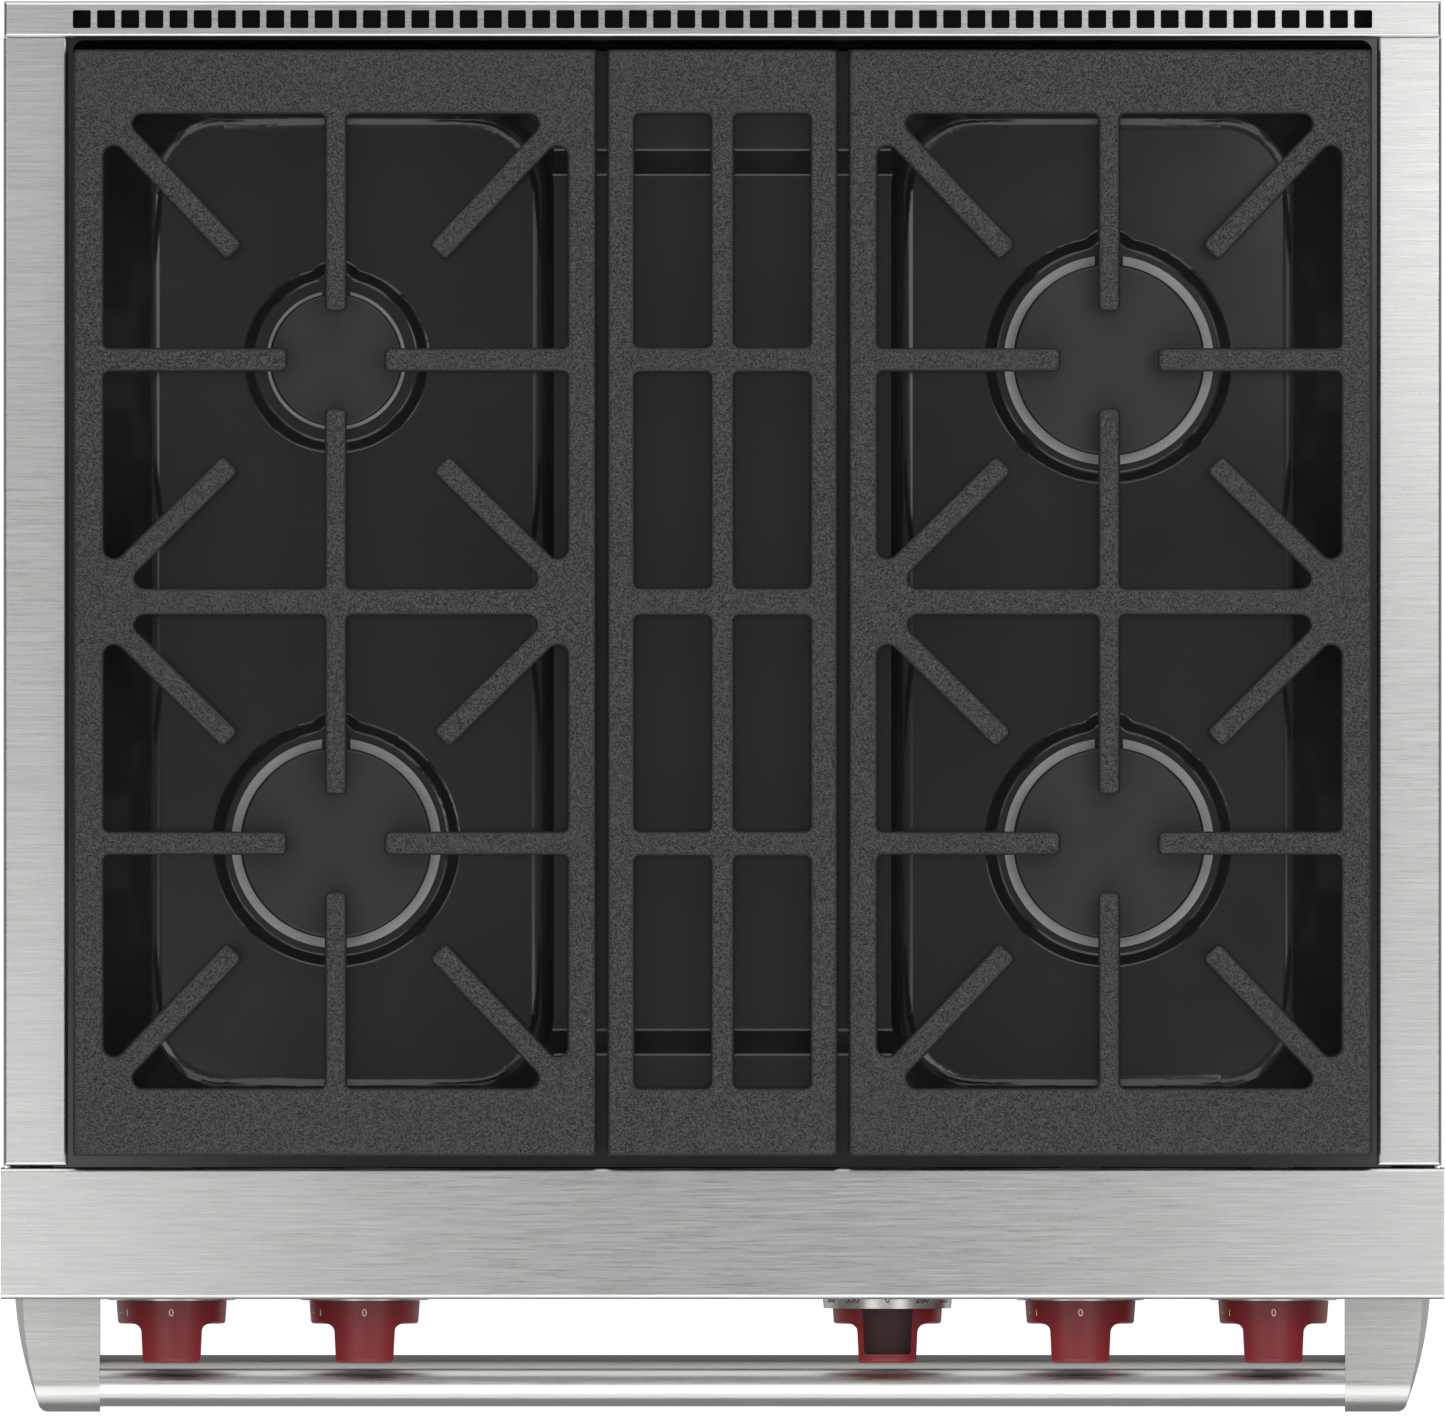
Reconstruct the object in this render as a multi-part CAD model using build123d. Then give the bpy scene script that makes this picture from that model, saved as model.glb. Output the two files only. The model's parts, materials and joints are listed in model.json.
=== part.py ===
"""Freestanding 30-inch gas range: four sealed burners, cast grates and a convection oven.

Frame: the origin is on the floor under the middle of the range, +X to the right of a
person facing it, +Y to the back and +Z up. Sizes are in millimetres.
"""
from build123d import *
import math
import os

os.makedirs("parts", exist_ok=True)

# Overall sizes and levels.
WIDTH = 759.0                 # over the control panel
DEPTH = 743.0                 # back of the vent trim to the front of the handle
BACK = DEPTH / 2
SHEET = 1.5                   # steel sheet
EDGE = 2.0                    # rounding of the steel trims' edges
GRATE_TOP = 914.0             # 36 in, with the legs screwed right in
TRIM_TOP = 895.0
DECK_TOP = 890.0              # rim of the cooktop pan
TROUGH_TOP = 876.0            # middle of the pan, between the two bowls
BOWL_X = (84.0, 334.0)        # X range of the right-hand bowl at the rim
FLOOR_TOP = 862.0             # floor of the two bowls
BASE_BOTTOM = 115.0           # underside of the base frame, on the legs

# Widths and depths of the body.
SIDE_X = 376.0                # outer face of the side panels
TRIM_X = 378.0                # outer edge of the side trims
TRIM_INNER_X = 344.2
BODY_FRONT = -246.0           # front face of the oven's front frame
PANEL_BACK = -241.6           # back edge of the control panel's top
TRIM_FRONT = -240.3
TRIM_BACK = 352.8             # where the side trims meet the vent trim
PAN_FRONT = PANEL_BACK + 0.5
PAN_BACK = 366.9              # the pan's rear flange, under the vent holes

# Grates.
GRATE_FRONT = -235.0
GRATE_BACK = 346.2
SIDE_GRATE = (66.4, 341.2)    # X range of the right-hand grate
SIDE_OPENING = (81.5, 325.0)  # X range inside its side bars
CENTRE_GRATE_WIDTH = 121.0
CENTRE_WINDOW = 39.9
CENTRE_BAR = 12.4
GRATE_DEPTH = 16.0
GRATE_EDGE = 2.5
REAR_WINDOW = (63.1, 312.3)   # Y range inside the frame bars round the rear burner
FRONT_WINDOW = (-199.5, 49.1)
CENTRE_ROWS = ((-199.5, -77.5), (-64.4, 48.9), (63.3, 176.7), (189.8, 312.3))
FINGER_Y_WIDTH = 11.5         # fingers that run front to back
FINGER_X_WIDTH = 12.3         # fingers that run left to right, and the diagonal ones
FINGER_TIP = 25.6             # tips of the straight fingers to the burner's centre
DIAGONAL_TIP = 77.5
WINDOW_CORNER = 3.0
SHARP_CORNER = 5.2            # rounding where a diagonal finger meets the frame
SHARP_REACH = 16.0            # such corners lie this near the frame's own corner
FOOT = (12.0, 30.0)           # size of a grate's foot in X and Y

# Burners. The rear left one is the small simmer burner.
BURNER_X = 203.2
BURNER_MIDDLE_Y = 56.2
BURNER_PITCH_Y = 254.0
BOSS_HEIGHT = 6.0
LARGE = {"cap": 50.3, "flange": 55.1, "ports": 49.0, "bore": 38.0, "skirt": 43.4,
         "boss": (64.6, 59.4), "bump": 53.0, "spark": 53.5}
SMALL = {"cap": 34.9, "flange": 36.6, "ports": 33.4, "bore": 22.0, "skirt": 27.4,
         "boss": (48.4, 43.2), "bump": 36.5, "spark": 37.2}
SPARK_R = 2.5
BUMP = (16.0, 11.0)           # radii of the electrode's bump, at its foot and top
BURNERS = {
    "rear_left": (-1, 1, SMALL), "rear_right": (1, 1, LARGE),
    "front_left": (-1, -1, LARGE), "front_right": (1, -1, LARGE),
}

# Control panel, knobs and handle.
PANEL_TOP_FRONT = -310.5      # rounded front edge of the panel's top
PANEL_FACE = -305.0           # face that carries the knobs
PANEL_BOTTOM = 790.0
KNOB_Z = 842.0
KNOB_BASE = -311.8            # back plane of the knobs' skirts
KNOB_PUSH = 3.0
BURNER_KNOBS = {"rear_left": -290.0, "front_left": -188.4,
                "front_right": 188.4, "rear_right": 290.0}
OVEN_KNOB_X = 86.8
SKIRT_R = 29.1
SKIRT_DEPTH = 12.0
GRIP_LENGTH = 20.6
STEM_R = 3.0
STEM_BACK = -262.0            # inner end of the stems, inside the valves
STEM_NECK = 30.0              # length of a stem's thick part
STEM_FLAT = 46.0              # start of its flat, behind the pushed-in knob
STEM_LENGTH = 65.8
FIT = 0.05                    # radial clearance of a running fit
HANDLE_R = 13.65
HANDLE_Y = -355.1
HANDLE_Z = 735.0
BRACKET_INNER_X = 328.8
BRACKET_R = BACK + HANDLE_Y   # nose of the brackets, round the bar's axis

# Gas inlet at the back.
INLET_X = 340.0
INLET_Z = 200.0

# Oven.
MOUTH_X = 311.0
MOUTH_Z = (190.0, 690.0)
CAVITY_BACK = 262.0
FRAME_Z = (142.0, 786.0)
RACK_Z = {"lower_rack": 350.0, "upper_rack": 530.0}
GUIDE_LEVELS = tuple(290.0 + 60.0 * level for level in range(6))
FAN_Z = 480.0

# Door.
DOOR_X = 375.0
DOOR_Z = (152.0, 780.0)
DOOR_FRONT = -303.0
DOOR_REAR = -252.0
HINGE_Y = -262.0
HINGE_Z = 160.0
HINGE_X = 349.0
GLASS_X = 235.0
GLASS_Z = (390.0, 600.0)

# Legs.
LEG_X = 335.0
LEG_Y = (-195.0, 325.0)
LEG_R = 19.0
STUD_R = 5.0


def save(name, *solids):
    """Write one node, made of one or more separate solids."""
    shape = solids[0] if len(solids) == 1 else Compound(list(solids))
    export_step(shape, f"parts/{name}.step")


def block(x, y, z):
    """Box between pairs of limits."""
    return Pos((x[0] + x[1]) / 2, (y[0] + y[1]) / 2, (z[0] + z[1]) / 2) * Box(
        abs(x[1] - x[0]), abs(y[1] - y[0]), abs(z[1] - z[0]))


def rod(start, end, radius):
    """Round bar from one point to another."""
    run = Vector(*end) - Vector(*start)
    return extrude(Plane(origin=start, z_dir=run) * Circle(radius), run.length)


def disc(x, y, z, radius):
    """Upright cylinder between two levels."""
    return rod((x, y, z[0]), (x, y, z[1]), radius)


def cone(x, y, z, radii):
    """Upright cone frustum between two levels."""
    return Pos(x, y, z[0]) * Cone(radii[0], radii[1], z[1] - z[0],
                                  align=(Align.CENTER, Align.CENTER, Align.MIN))


def tube(points, radius, bend):
    """Round tube along straight runs joined by arcs."""
    path = FilletPolyline(*points, radius=bend)
    start = Plane(origin=path @ 0, z_dir=path % 0)
    return sweep(start * Circle(radius), path=path)


def both_sides(make):
    """The same piece on the right and, mirrored, on the left."""
    right = make()
    return right, mirror(right, about=Plane.YZ)


def front_plane(x, y, z):
    """Plane that faces the user: local x to the right, local y up."""
    return Plane(origin=(x, y, z), x_dir=(1, 0, 0), z_dir=(0, -1, 0))


def yz_prism(points, x):
    """Closed outline of (y, z) points, extruded between two x values."""
    face = make_face(Polyline(*[(x[0], py, pz) for py, pz in points], close=True))
    return extrude(face, amount=x[1] - x[0], dir=(1, 0, 0))


# ------------------------------------------------------------------ cooktop

def burner_place(name):
    """Centre and size set of one burner."""
    side, end, size = BURNERS[name]
    return side * BURNER_X, BURNER_MIDDLE_Y + end * BURNER_PITCH_Y / 2, size


def finger(y, angle, tip, width):
    """Bar that points at the right-hand burner's centre and stops short of it."""
    reach = SIDE_GRATE[1]
    return Pos(BURNER_X, y) * Rot(0, 0, angle) * Pos(tip + reach / 2, 0) * Rectangle(reach, width)


def burner_window(rows, burner_y):
    """Opening round one right-hand burner: the frame's inside less the eight fingers."""
    columns = SIDE_OPENING
    opening = Pos(sum(columns) / 2, sum(rows) / 2) * Rectangle(
        columns[1] - columns[0], rows[1] - rows[0])
    corners = [(x, y) for x in columns for y in rows]
    for angle in (90, 270):
        opening -= finger(burner_y, angle, FINGER_TIP, FINGER_Y_WIDTH)
    for angle in (0, 180):
        opening -= finger(burner_y, angle, FINGER_TIP, FINGER_X_WIDTH)
    for x, y in corners:
        angle = math.degrees(math.atan2(y - burner_y, x - BURNER_X))
        opening -= finger(burner_y, angle, DIAGONAL_TIP, FINGER_X_WIDTH)

    def is_sharp(vertex):
        return any(math.hypot(vertex.X - x, vertex.Y - y) < SHARP_REACH for x, y in corners)

    opening = fillet([v for v in opening.vertices() if is_sharp(v)], SHARP_CORNER)
    square = [v for v in opening.vertices() if square_corner(opening, v)]
    return fillet(square, WINDOW_CORNER)


def square_corner(sketch, vertex):
    """Whether two straight edges meet at a sketch's vertex."""
    near = [e for e in sketch.edges() if any(
        (vertex.center() - end.center()).length < 1e-4 for end in e.vertices())]
    return all(e.geom_type == GeomType.LINE for e in near)


def cast_grate(columns, openings):
    """Grate casting: a plate with openings, rounded top edges and six feet."""
    rows = (GRATE_FRONT, GRATE_BACK)
    outline = Pos(sum(columns) / 2, sum(rows) / 2) * RectangleRounded(
        columns[1] - columns[0], rows[1] - rows[0], WINDOW_CORNER)
    plate = extrude(Pos(0, 0, GRATE_TOP) * (outline - openings), -GRATE_DEPTH)
    plate = fillet(plate.faces().sort_by(Axis.Z)[-1].edges(), GRATE_EDGE)
    middle = (sum(rows) - FOOT[1]) / 2
    for x in (columns[0], columns[1] - FOOT[0]):
        for y in (rows[0], middle, rows[1] - FOOT[1]):
            in_trough = y == middle and abs(x) < BOWL_X[0]
            low = TROUGH_TOP if in_trough else DECK_TOP
            plate += block((x, x + FOOT[0]), (y, y + FOOT[1]), (low, GRATE_TOP - GRATE_DEPTH))
    return plate


def side_grate():
    """Grate over the two right-hand burners."""
    rear = burner_window(REAR_WINDOW, BURNER_MIDDLE_Y + BURNER_PITCH_Y / 2)
    front = burner_window(FRONT_WINDOW, BURNER_MIDDLE_Y - BURNER_PITCH_Y / 2)
    return cast_grate(SIDE_GRATE, rear + front)


def centre_grate():
    """Narrow grate with two columns of four windows."""
    offset = (CENTRE_BAR + CENTRE_WINDOW) / 2
    windows = [
        Pos(side * offset, sum(row) / 2) * RectangleRounded(
            CENTRE_WINDOW, row[1] - row[0], WINDOW_CORNER)
        for side in (-1, 1) for row in CENTRE_ROWS
    ]
    half = CENTRE_GRATE_WIDTH / 2
    return cast_grate((-half, half), Sketch() + windows)


def rounded(columns, rows, corner, grow, level):
    """Rounded rectangle between limits, grown on every side, at one level."""
    shape = RectangleRounded(columns[1] - columns[0] + 2 * grow, rows[1] - rows[0] + 2 * grow,
                             corner + grow)
    return Plane.XY.offset(level) * Pos(sum(columns) / 2, sum(rows) / 2) * shape


def bowl(grow):
    """Sunken right-hand well, or its outer skin when grown by the sheet's thickness."""
    floor_columns, floor_rows, floor_corner = (93.0, 298.2), (-199.0, 311.0), 40.0
    rim_rows, rim_corner, bottom_rounding = (-212.0, 324.0), 50.0, 10.0
    floor = rounded(floor_columns, floor_rows, floor_corner, grow, FLOOR_TOP - grow)
    rim = rounded(BOWL_X, rim_rows, rim_corner, grow, DECK_TOP + (0 if grow else 1))
    shape = loft([floor, rim])
    return fillet(shape.faces().sort_by(Axis.Z)[0].edges(), bottom_rounding + grow)


def trough(grow):
    """Dip between the two bowls, with a sloping step and rounded edges at each end."""
    front, back, slope, rounding, shoulder = -182.0, 293.7, 13.0, 3.0, 8.0
    half_width = BOWL_X[0] + 6
    low = TROUGH_TOP - grow
    points = [(front - grow, DECK_TOP), (front + slope - grow, low),
              (back - slope + grow, low), (back + grow, DECK_TOP)]
    if not grow:
        points = [(front - shoulder, DECK_TOP), *points, (back + shoulder, DECK_TOP),
                  (back + shoulder, DECK_TOP + 1), (front - shoulder, DECK_TOP + 1)]
    shape = yz_prism(points, (-half_width, half_width))
    levels = shape.edges().filter_by(Axis.X).group_by(Axis.Z)
    if grow:
        return fillet(levels[0], rounding + grow)
    return fillet([*levels[0], *levels[1].sort_by(Axis.Y)[1:3]], rounding)


def rear_groove(grow):
    """Groove across the back of the pan, behind the grates, with a sloping rear side."""
    half, front, foot, back, corner, depth = 341.6, 342.6, 345.5, 351.4, 6.3, 8.0
    low, high = DECK_TOP - depth - grow, DECK_TOP + (0 if grow else 1)
    lean = (back - foot) / depth
    shift = grow * math.hypot(1, lean)
    section = yz_prism([(front - grow, high), (front - grow, low),
                        (foot + shift - grow * lean, low),
                        (back + shift + (high - DECK_TOP) * lean, high)], (-WIDTH, WIDTH))
    return section & extrude(rounded((-half, half), (0, back), corner, grow, low), high - low)


def boss_outline(size, index):
    """Outline of one burner's seat, at the foot (0) or the top (1): two joined circles."""
    radius, bump, offset, blend = size["boss"][index], BUMP[index], size["bump"], 4.0
    reach = radius + blend
    y = (reach ** 2 - (bump + blend) ** 2 + offset ** 2) / (2 * offset)
    centre = Vector(math.sqrt(reach ** 2 - y ** 2), y)
    top = Vector(0, offset)
    low = centre * (radius / reach)
    high = top + (centre - top) * (bump / (bump + blend))
    middle = centre + ((low + high) / 2 - centre).normalized() * blend
    points = [(-high.X, high.Y), (-middle.X, middle.Y), (-low.X, low.Y)]
    return make_face(Curve() + [
        ThreePointArc(*points), ThreePointArc(points[2], (0, -radius), low),
        ThreePointArc(low, middle, high), ThreePointArc(high, (0, offset + bump), points[0])])


def boss(name):
    """Raised seat of one burner, with the spark electrode's bump at the back."""
    x, y, size = burner_place(name)
    slope = math.degrees(math.atan2(size["boss"][0] - size["boss"][1], BOSS_HEIGHT))
    foot = Pos(x, y, FLOOR_TOP) * boss_outline(size, 0)
    seat = extrude(foot, BOSS_HEIGHT, taper=slope)
    return fillet(seat.faces().sort_by(Axis.Z)[-1].edges(), 2.2)


def cooktop_pan():
    """One-piece enamelled pan: rim, two bowls, middle trough, rear groove and four seats."""
    rim_half, foot_rounding = 352.0, 2.0
    right, right_skin = bowl(0), bowl(SHEET)
    pan = block((-rim_half, rim_half), (PAN_FRONT, PAN_BACK), (DECK_TOP - SHEET, DECK_TOP))
    pan += [right_skin, mirror(right_skin, about=Plane.YZ), trough(SHEET), rear_groove(SHEET)]
    pan -= [right, mirror(right, about=Plane.YZ), trough(0), rear_groove(0)]
    for name in BURNERS:
        pan += boss(name)
    pan = fillet([edge for edge in pan.edges() if at_seat_foot(edge)], foot_rounding)
    for name in BURNERS:
        x, y, size = burner_place(name)
        pan -= disc(x, y, (FLOOR_TOP - 5, DECK_TOP), size["skirt"] + 1.2)
        pan -= disc(x, y + size["spark"], (FLOOR_TOP - 5, DECK_TOP), 3.5)
    return pan


def at_seat_foot(edge):
    """Whether an edge is part of the foot of a burner's seat, on the pan's floor."""
    span = edge.bounding_box()
    if max(abs(span.min.Z - FLOOR_TOP), abs(span.max.Z - FLOOR_TOP)) > 0.01:
        return False
    middle = edge @ 0.5
    for name in BURNERS:
        x, y, size = burner_place(name)
        if math.hypot(middle.X - x, middle.Y - y) < size["bump"] + BUMP[0] + 1:
            return True
    return False


def burner_head(name):
    """Cast ring with a flange, a ring of gas ports and a skirt that drops into the base."""
    x, y, size = burner_place(name)
    seat = FLOOR_TOP + BOSS_HEIGHT + 0.2
    head = disc(x, y, (seat, seat + 5), size["flange"])
    head += disc(x, y, (seat + 5, seat + 13), size["ports"])
    head += disc(x, y, (seat - 10, seat), size["skirt"])
    head -= disc(x, y, (seat - 10, seat + 13), size["bore"])
    count = 2 * round(size["ports"] * 0.3)
    for index in range(count):
        angle = 360 * (index + 0.5) / count
        port = Pos(x, y, seat + 10) * Rot(0, 0, angle) * Pos(size["ports"], 0, 0) * Box(9, 2.2, 6)
        head -= port
    notch = size["ports"] + 0.4
    head -= block((x - 7.5, x + 7.5), (y + notch, y + notch + 20), (seat - 1, seat + 14))
    return head


def burner_cap(name):
    """Enamelled lid with a rounded edge and a locating rim inside the head's bore."""
    x, y, size = burner_place(name)
    low = FLOOR_TOP + BOSS_HEIGHT + 13.4
    lid = disc(x, y, (low, low + 6.6), size["cap"])
    lid = fillet(lid.edges().group_by(Axis.Z)[-1], 2.0)
    return lid + disc(x, y, (low - 3, low), size["bore"] - 0.6)


def burner_base(name):
    """Aluminium cup under the pan that feeds gas into the head."""
    x, y, size = burner_place(name)
    top = FLOOR_TOP - SHEET
    cup = size["skirt"] + 0.8
    base = disc(x, y, (top - 4, top), size["spark"] + 6)
    base += disc(x, y, (top - 24, top - 4), cup + 2)
    base -= disc(x, y, (top - 16, top), cup)
    base -= disc(x, y, (top - 24, top), 5.0)
    return base - disc(x, y + size["spark"], (top - 5, top), SPARK_R + FIT)


def electrode(name):
    """Ceramic spark electrode with a thin metal tip."""
    x, y, size = burner_place(name)
    spark_y = y + size["spark"]
    return disc(x, spark_y, (850, 873), SPARK_R) + disc(x, spark_y, (873, 878), 0.9)


def side_trim():
    """Folded steel strip over the right-hand edge of the cooktop."""
    y, low = (TRIM_FRONT, TRIM_BACK - 0.3), 878.0
    strip = block((TRIM_INNER_X, TRIM_X), y, (low, TRIM_TOP))
    top = strip.faces().sort_by(Axis.Z)[-1].edges()
    strip = fillet(top.filter_by(Axis.Y) + top.sort_by(Axis.Y)[:1], EDGE)
    strip -= block((TRIM_INNER_X + SHEET, TRIM_X - SHEET), (y[0] + SHEET, y[1]),
                   (low - 1, TRIM_TOP - SHEET - 0.5))
    return strip - block((TRIM_INNER_X - 1, TRIM_X - SHEET), (y[0] - 1, y[1]),
                         (low - 1, DECK_TOP))


def vent_trim():
    """Channel across the back with a row of square vent holes."""
    half = 377.5
    count, pitch, size = 54, 12.7, 9.5
    top, low = GRATE_TOP, 875.0
    trim = block((-half, half), (TRIM_BACK, BACK), (low, top))
    trim = fillet(trim.faces().sort_by(Axis.Z)[-1].edges(), EDGE)
    trim -= block((-half + SHEET, half - SHEET), (TRIM_BACK + SHEET, BACK - SHEET),
                  (low, top - SHEET))
    trim -= block((-half, half), (TRIM_BACK, BACK - 2 * SHEET), (low, DECK_TOP + 0.2))
    middle_y = (TRIM_BACK + BACK) / 2
    holes = [
        Pos((index - (count - 1) / 2) * pitch, middle_y, top - 3) * RectangleRounded(size, size, 1)
        for index in range(count)
    ]
    return trim - extrude(Sketch() + holes, 5)


def make_cooktop():
    """Everything on and in the cooktop."""
    save("right_grate", side_grate())
    save("left_grate", mirror(side_grate(), about=Plane.YZ))
    save("centre_grate", centre_grate())
    save("cooktop_pan", cooktop_pan())
    for name in BURNERS:
        save(f"{name}_burner_head", burner_head(name))
        save(f"{name}_burner_cap", burner_cap(name))
    save("burner_bases", *[burner_base(name) for name in BURNERS])
    save("igniter_electrodes", *[electrode(name) for name in BURNERS])
    save("side_trims", *both_sides(side_trim))
    save("vent_trim", vent_trim())


# ------------------------------------------------------------------ controls

def panel_profile(inset):
    """Side outline of the control panel, as (y, z) points, less a skin."""
    top = TRIM_TOP - inset
    face = PANEL_FACE + inset
    lip = PANEL_TOP_FRONT + inset
    bottom = PANEL_BOTTOM + inset
    return [(PANEL_BACK, top), (lip, top), (lip, 884.0), (face, 878.0), (face, bottom),
            (BODY_FRONT - 2.0, bottom), (BODY_FRONT - 2.0, 805.0), (PANEL_BACK, 815.0)]


def control_panel():
    """Steel fascia with a bullnosed top edge, open at the back."""
    half = WIDTH / 2
    shell = yz_prism(panel_profile(0), (-half, half))
    front, back = shell.edges().filter_by(Axis.X).group_by(Axis.Z)[-1].sort_by(Axis.Y)
    shell = fillet(fillet(front, 2.8).edges().filter_by(Axis.X).group_by(Axis.Z)[-1]
                   .sort_by(Axis.Y)[-1], EDGE)
    hollow = yz_prism(panel_profile(SHEET), (-half + SHEET, half - SHEET))
    shell -= hollow
    shell -= block((-half + SHEET, half - SHEET), (BODY_FRONT - 3, PANEL_BACK + 1),
                   (PANEL_BOTTOM + SHEET, TRIM_TOP - SHEET))
    for x in [*BURNER_KNOBS.values(), OVEN_KNOB_X]:
        shell -= rod((x, PANEL_FACE - 5, KNOB_Z), (x, PANEL_FACE + 5, KNOB_Z), 9.0)
    return shell


def bezel(x, radius, depth):
    """Ring round a knob, deep enough for the knob to be pushed in."""
    plane = front_plane(x, PANEL_FACE, KNOB_Z)
    ring = Cone(radius, radius - 0.6, depth, align=(Align.CENTER, Align.CENTER, Align.MIN))
    ring -= Pos(0, 0, 2) * Cylinder(SKIRT_R + 0.7, depth, align=(Align.CENTER, Align.CENTER,
                                                                  Align.MIN))
    ring -= Cylinder(9.0, 10)
    return plane * ring


def knob(x, pocket_up):
    """Skirted knob: a thick upright grip with a finger pocket cut in one end of it."""
    lean, seam, tip, edge = 0.075, 1.5, 2.5, 1.8
    front = SKIRT_DEPTH + GRIP_LENGTH
    up = (Align.CENTER, Align.CENTER, Align.MIN)
    body = Cone(SKIRT_R, SKIRT_R - lean * SKIRT_DEPTH, SKIRT_DEPTH, align=up)
    body = fillet(body.edges().group_by(Axis.Z)[-1], seam)
    grip = Cone(SKIRT_R, SKIRT_R - lean * front, front, align=up)
    grip = fillet(grip.edges().group_by(Axis.Z)[-1], tip)
    body += grip & grip_slab(front, edge)
    body -= knob_pocket(1 if pocket_up else -1)
    bore = Pos(0, 0, -1) * Cylinder(STEM_R + FIT, 21, align=up)
    bore -= Pos(0, STEM_R + 2.35, 10) * Box(10, 6.0, 30)
    return front_plane(x, KNOB_BASE, KNOB_Z) * (body - bore)


def grip_slab(front, edge):
    """Slab that sets a grip's thickness, with a fillet where it rises from the skirt."""
    base, root, foot, tip = 16.0, 4.5, 20.6, 15.0
    points = [(-foot, 0), (foot, 0), (foot, SKIRT_DEPTH), (base, SKIRT_DEPTH), (tip, front),
              (-tip, front), (-base, SKIRT_DEPTH), (-foot, SKIRT_DEPTH)]
    outline = make_face(Polyline(*points, close=True))
    outline = fillet([v for v in outline.vertices()
                      if abs(abs(v.X) - base) < 0.1 and v.Y > 1], root)
    outline = fillet(outline.vertices().group_by(Axis.Y)[-1], edge)
    plane = Plane(origin=(0, SKIRT_R + 10, 0), x_dir=(1, 0, 0), z_dir=(0, -1, 0))
    return extrude(plane * outline, 2 * SKIRT_R + 20)


def knob_pocket(side):
    """Finger pocket: a tapered slot in from the grip's top (1) or its bottom (-1)."""
    base, end, floor = (13.5, -1.0), (12.2, SKIRT_DEPTH + GRIP_LENGTH - 4.6), 6.0
    plane = Plane(origin=(0, side * floor, 0), x_dir=(1, 0, 0), z_dir=(0, -1, 0))
    outline = make_face(Polyline((-base[0], base[1]), base, end, (-end[0], end[1]), close=True))
    outline = fillet(outline.vertices().group_by(Axis.Y)[-1], 1.5)
    return extrude(plane * outline, -side * 40.0)


def valve_stem(x):
    """Turning spindle of a valve, with a flat for the knob."""
    up = (Align.CENTER, Align.CENTER, Align.MIN)
    stem = Cylinder(STEM_R + 1, STEM_NECK, align=up)
    end = Pos(0, 0, STEM_NECK) * Cylinder(STEM_R, STEM_LENGTH - STEM_NECK, align=up)
    end -= block((-5, 5), (STEM_R - 0.7, STEM_R + 5), (STEM_FLAT, STEM_LENGTH + 5))
    return front_plane(x, STEM_BACK, KNOB_Z) * (stem + end)


def valve(x):
    """Brass gas valve on the manifold, bored for its stem."""
    body = block((x - 11, x + 11), (-288, -235.7), (KNOB_Z - 13, KNOB_Z + 13))
    return body - rod((x, -289, KNOB_Z), (x, -262, KNOB_Z), 4.0 + FIT)


def thermostat():
    """Oven thermostat body behind the oven knob."""
    x = OVEN_KNOB_X
    body = block((x - 26, x + 26), (-290, -235.7), (KNOB_Z - 24, KNOB_Z + 24))
    return body - rod((x, -291, KNOB_Z), (x, -262, KNOB_Z), 4.0 + FIT)


def gas_manifold():
    """Manifold pipe, the regulator at its end and the supply pipe from the back."""
    manifold_y = -225.0
    radius = 10.65                                   # 1/2 in gas pipe
    pipe = rod((-330, manifold_y, KNOB_Z), (322, manifold_y, KNOB_Z), radius)
    regulator = block((322, 358), (-243, -195), (824, 860))
    supply = tube([(INLET_X, BACK, INLET_Z), (INLET_X, 325, INLET_Z), (INLET_X, 325, KNOB_Z),
                   (INLET_X, -195, KNOB_Z)], radius, 18)
    return pipe, regulator, supply


def gas_tubes():
    """Thin tubes from the valves to the burner bases, and one to the bake burner."""
    tubes = []
    run_z, radius, bend = 800.0, 4.0, 12.0
    for name, knob_x in BURNER_KNOBS.items():
        x, y, size = burner_place(name)
        tubes.append(tube([(knob_x, -262, KNOB_Z - 13), (knob_x, -262, run_z),
                           (x, y, run_z), (x, y, FLOOR_TOP - SHEET - 24)], radius, bend))
    x = OVEN_KNOB_X
    tubes.append(tube([(x, -262, KNOB_Z - 24), (x, -262, run_z), (x, 300, run_z), (x, 300, 214),
                       (x, CAVITY_BACK + SHEET, 214)], radius, 10))
    return tubes


def ignition_module():
    """Spark module on the back panel, and the cord's gland below it."""
    module = block((-345, -255), (335, BACK - SHEET), (200, 290))
    gland = rod((-300, BACK - 8, 165), (-300, BACK, 165), 8.0)
    return module, gland - rod((-300, BACK - 9, 165), (-300, BACK + 1, 165), 4.5)


def make_controls():
    """Fascia, knobs, valves and gas pipes."""
    save("control_panel", control_panel())
    rings = [bezel(x, 33.9, 6.5) for x in BURNER_KNOBS.values()]
    save("knob_bezels", *rings, bezel(OVEN_KNOB_X, 34.2, 10.7))
    for name, x in BURNER_KNOBS.items():
        save(f"{name}_knob", knob(x, False))
        save(f"{name}_valve_stem", valve_stem(x))
    save("oven_knob", knob(OVEN_KNOB_X, True))
    save("oven_thermostat_stem", valve_stem(OVEN_KNOB_X))
    save("burner_valves", *[valve(x) for x in BURNER_KNOBS.values()])
    save("oven_thermostat", thermostat())
    save("gas_manifold", *gas_manifold())
    save("gas_tubes", *gas_tubes())
    save("ignition_module", *ignition_module())


# ------------------------------------------------------------------ oven

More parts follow.
